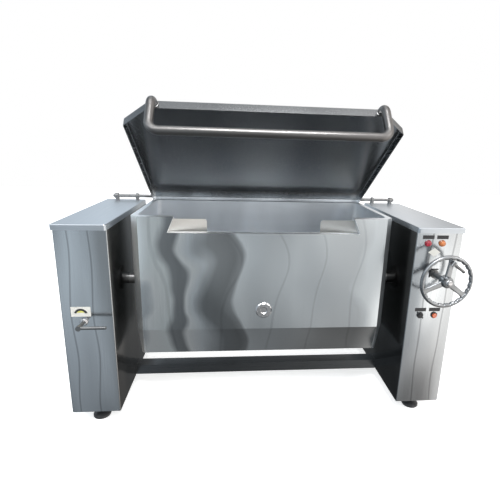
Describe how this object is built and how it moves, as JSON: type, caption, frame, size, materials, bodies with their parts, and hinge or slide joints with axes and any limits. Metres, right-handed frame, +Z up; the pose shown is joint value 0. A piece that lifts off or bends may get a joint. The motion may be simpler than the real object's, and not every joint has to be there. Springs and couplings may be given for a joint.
{
  "type": "bratt pan",
  "caption": "Tilting rectangular cooking pan on pivots between two columns, with a hinged lid, a geared tilting handwheel, a valve lever and front controls.",
  "frame": {"origin": "on the floor under the middle of the bounding box", "axes": "+X to the operator's right, +Y from the front to the back, +Z up"},
  "size_m": [1.6, 0.815, 1.3155],
  "materials": {
    "column_steel": "mirror to satin stainless sheet",
    "cover_steel": "satin stainless sheet",
    "pan_steel": "polished stainless sheet",
    "tub_steel": "satin stainless sheet",
    "lid_steel": "satin stainless sheet",
    "grip_steel": "satin stainless tube",
    "rod_steel": "turned stainless bar",
    "cap_chrome": "polished",
    "wheel_metal": "satin chrome casting",
    "iron": "painted casting",
    "foot_black": "matt",
    "black_plastic": "moulded",
    "white_plate": "printed film",
    "red_lens": "translucent",
    "amber_lens": "translucent",
    "orange_cap": "translucent",
    "brass": "machined"
  },
  "bodies": {
    "frame": {"column_left": "column_steel", "column_right": "column_steel", "cover_left": "cover_steel", "cover_right": "cover_steel", "cross_beam": "column_steel", "foot_1": "foot_black", "foot_2": "foot_black", "foot_3": "foot_black", "foot_4": "foot_black", "hinge_eye_inner_left": "rod_steel", "hinge_eye_outer_left": "rod_steel", "hinge_eye_inner_right": "rod_steel", "hinge_eye_outer_right": "rod_steel", "pivot_bearing_left": "iron", "pivot_bearing_right": "iron", "gearbox": "iron", "shaft_bush": "cap_chrome", "lamp_ring_red": "cap_chrome", "lamp_ring_amber": "cap_chrome", "lamp_lens_red": "red_lens", "lamp_lens_amber": "amber_lens", "blank_strip_1": "black_plastic", "blank_strip_2": "black_plastic", "blank_strip_3": "black_plastic", "blank_strip_4": "black_plastic", "blank_diamond": "white_plate", "selector_ring": "black_plastic", "button_ring": "black_plastic", "lever_boss": "cap_chrome", "scale_plate": "white_plate", "scale_arc": "black_plastic", "gas_inlet": "brass"},
    "pan": {"pan_shell": "pan_steel", "pan_tub": "tub_steel", "pour_guide_left": "tub_steel", "pour_guide_right": "tub_steel", "front_cap": "cap_chrome", "pan_gland_1": "black_plastic", "pan_gland_2": "black_plastic", "pan_pivot_left": "rod_steel", "pan_pivot_right": "rod_steel"},
    "lid": {"lid_panel": "lid_steel", "lid_block_left": "lid_steel", "lid_block_right": "lid_steel", "lid_rod_left": "rod_steel", "lid_rod_right": "rod_steel", "lid_grip": "grip_steel"},
    "wheel": {"handwheel": "wheel_metal", "wheel_shaft": "rod_steel", "wheel_cap": "cap_chrome", "crank_lug": "wheel_metal", "crank_pin": "rod_steel"},
    "crank": {"crank_handle": "black_plastic"},
    "selector": {"selector_knob": "black_plastic"},
    "button": {"push_button": "orange_cap"},
    "lever": {"valve_lever": "rod_steel"}
  },
  "joints": [
    {"name": "lid_hinge", "type": "hinge", "parent": "frame", "child": "lid", "pos_m": [0, 0.3625, 0.88], "axis": [-1, 0, 0], "range_deg": [-36, 46]},
    {"name": "pan_tilt", "type": "hinge", "parent": "frame", "child": "pan", "pos_m": [0, -0.0175, 0.557], "axis": [1, 0, 0], "range_deg": [0, 80]},
    {"name": "wheel_turn", "type": "hinge", "parent": "frame", "child": "wheel", "pos_m": [0.692, -0.3825, 0.666], "axis": [0, 1, 0], "range_deg": [0, 2400]},
    {"name": "crank_fold", "type": "hinge", "parent": "wheel", "child": "crank", "pos_m": [0.70015, -0.3985, 0.74357], "axis": [-0.5736, 0, -0.8192], "range_deg": [0, 90]},
    {"name": "selector_turn", "type": "hinge", "parent": "frame", "child": "selector", "pos_m": [0.657, -0.2825, 0.48], "axis": [0, 1, 0], "range_deg": [0, 90]},
    {"name": "button_push", "type": "slide", "parent": "frame", "child": "button", "axis": [0, 1, 0], "range_m": [0, 0.004], "stiffness_N_per_m": 500, "springref_m": -0.002},
    {"name": "lever_turn", "type": "hinge", "parent": "frame", "child": "lever", "pos_m": [-0.712, -0.2825, 0.47], "axis": [0, -1, 0], "range_deg": [0, 90]}
  ],
  "couplings": [
    {"joint": "wheel_turn", "follows": "pan_tilt", "ratio": 30}
  ]
}
